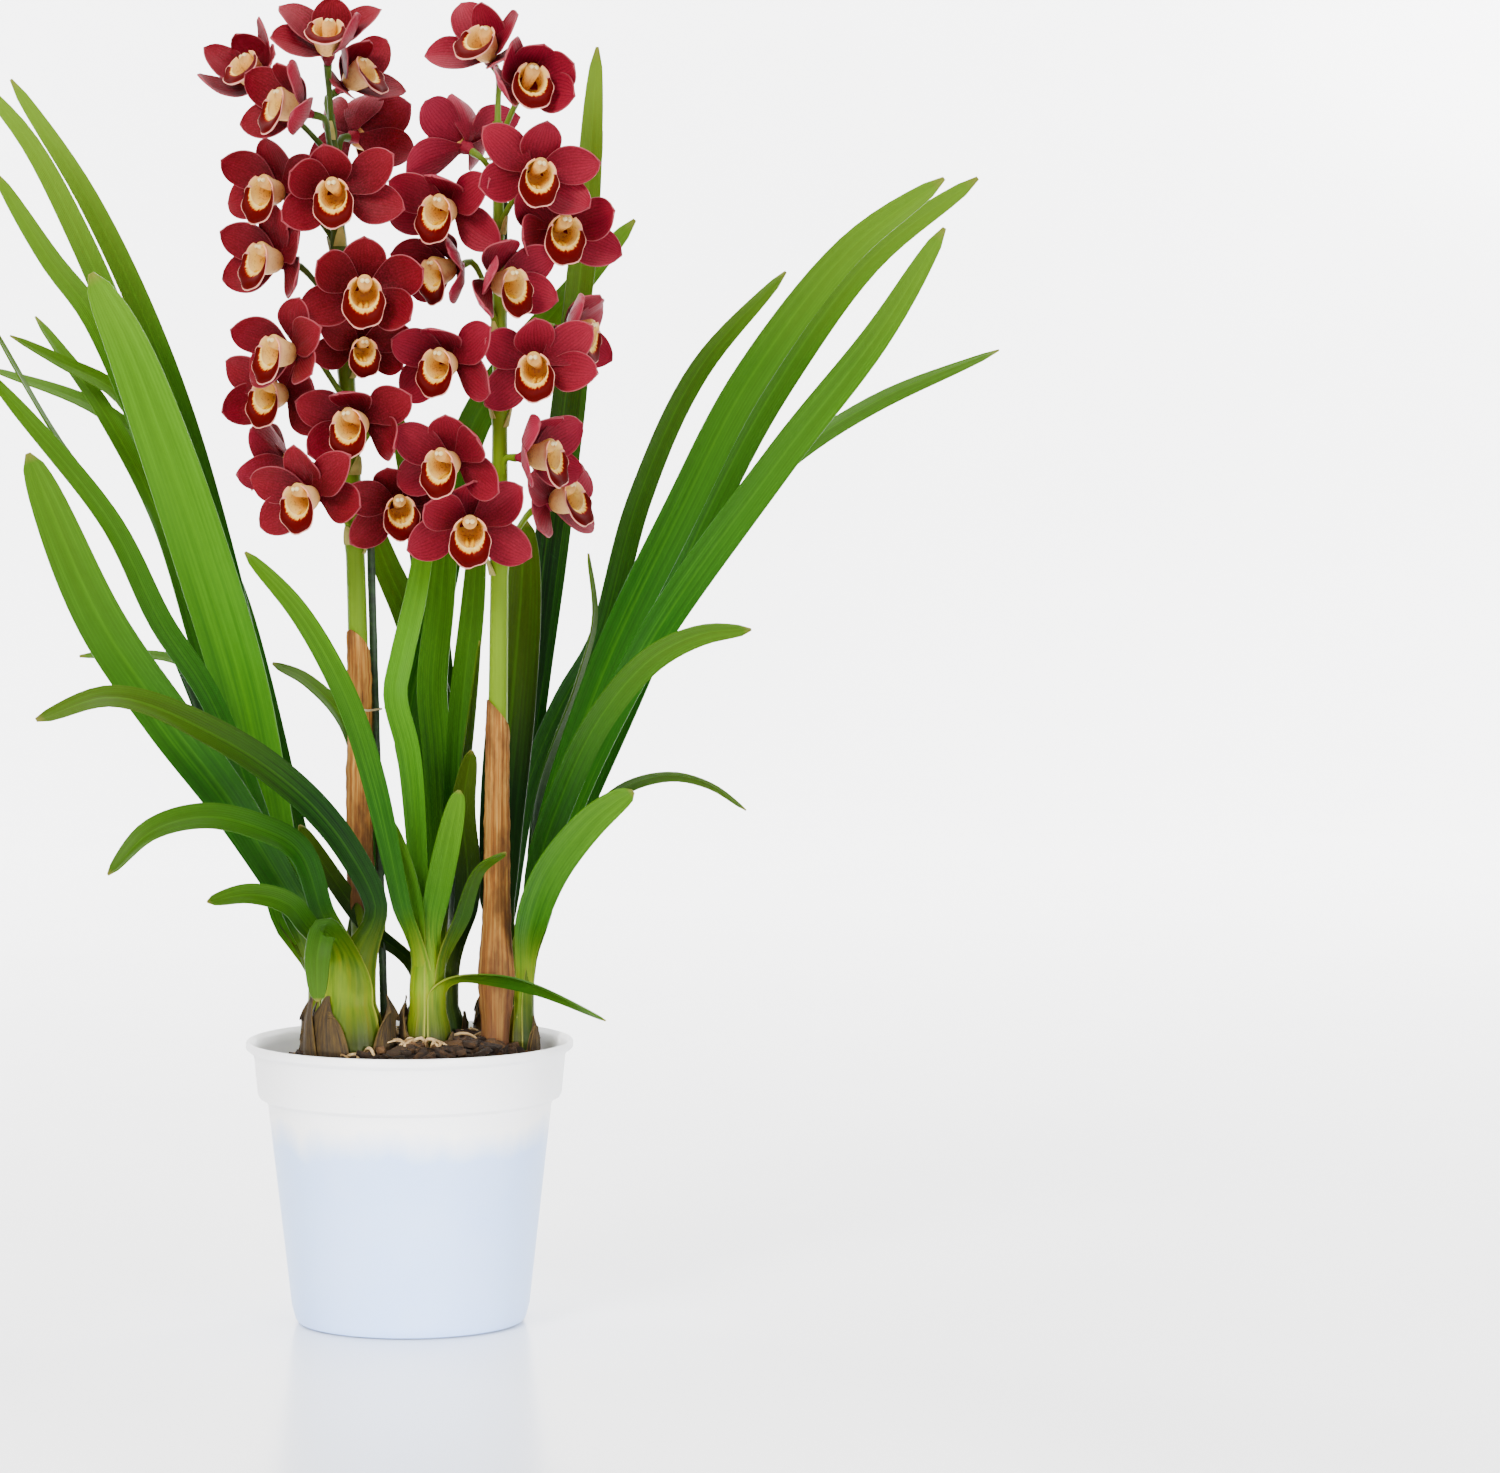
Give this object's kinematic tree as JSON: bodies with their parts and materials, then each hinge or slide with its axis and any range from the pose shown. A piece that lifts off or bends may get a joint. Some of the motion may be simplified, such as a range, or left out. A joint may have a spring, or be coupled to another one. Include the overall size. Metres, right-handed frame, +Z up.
{
  "type": "potted orchid",
  "caption": "Potted cymbidium orchid: staked flower spikes with dark red blooms above strap leaves, growing in bark in a plain white nursery pot.",
  "frame": {"origin": "centre of the pot's foot, on the plane it stands on", "axes": "+Z up along the pot's axis, -Y towards the viewer, +X to the viewer's right"},
  "size_m": [0.476, 0.206, 0.601],
  "materials": {
    "pot_plastic": "milky white moulded polypropylene",
    "bark": "rough bark chips",
    "bulb_skin": "olive bulbs with dry papery bracts",
    "leaf": "glossy green leaf",
    "flower_stem": "smooth pale green stem",
    "dry_bract": "dry papery sheath",
    "stake": "green coated rod",
    "tie_wire": "coated twist wire",
    "petal": "soft crimson petal"
  },
  "bodies": {
    "root": {"pot": "pot_plastic", "bark_mix": "bark", "bulb_back_left": "bulb_skin", "leaves_back_left": "leaf", "bulb_mid_left": "bulb_skin", "leaves_mid_left": "leaf", "bulb_front_left": "bulb_skin", "leaves_front_left": "leaf", "bulb_centre_front": "bulb_skin", "leaves_centre_front": "leaf", "bulb_centre_back": "bulb_skin", "leaves_centre_back": "leaf", "bulb_back_right": "bulb_skin", "leaves_back_right": "leaf", "bulb_right": "bulb_skin", "leaves_right": "leaf", "spike_left": "flower_stem", "sleeve_left": "dry_bract", "stake_left": "stake", "tie_left": "tie_wire", "bloom_left_top": "petal", "bloom_left_top_left": "petal", "bloom_left_top_right": "petal", "bloom_left_upper_left_inner": "petal", "bloom_left_turned_away": "petal", "bloom_left_left_2": "petal", "bloom_left_front_2": "petal", "bloom_left_left_3": "petal", "bloom_left_front_3": "petal", "bloom_left_left_4": "petal", "bloom_left_inner_4": "petal", "bloom_left_left_5": "petal", "bloom_left_front_5": "petal", "bloom_left_left_6": "petal", "bloom_left_back_6": "petal", "bloom_left_right_6": "petal", "spike_right": "flower_stem", "sleeve_right": "dry_bract", "stake_right": "stake", "tie_right": "tie_wire", "bloom_right_top_left": "petal", "bloom_right_top_right": "petal", "bloom_right_turned_away": "petal", "bloom_right_right_2": "petal", "bloom_right_left_2": "petal", "bloom_right_right_3": "petal", "bloom_right_left_3": "petal", "bloom_right_front_3": "petal", "bloom_right_left_4": "petal", "bloom_right_front_4": "petal", "bloom_right_right_4": "petal", "bloom_right_left_5": "petal", "bloom_right_right_5": "petal", "bloom_right_right_6": "petal", "bloom_right_front_6": "petal"}
  },
  "joints": []
}
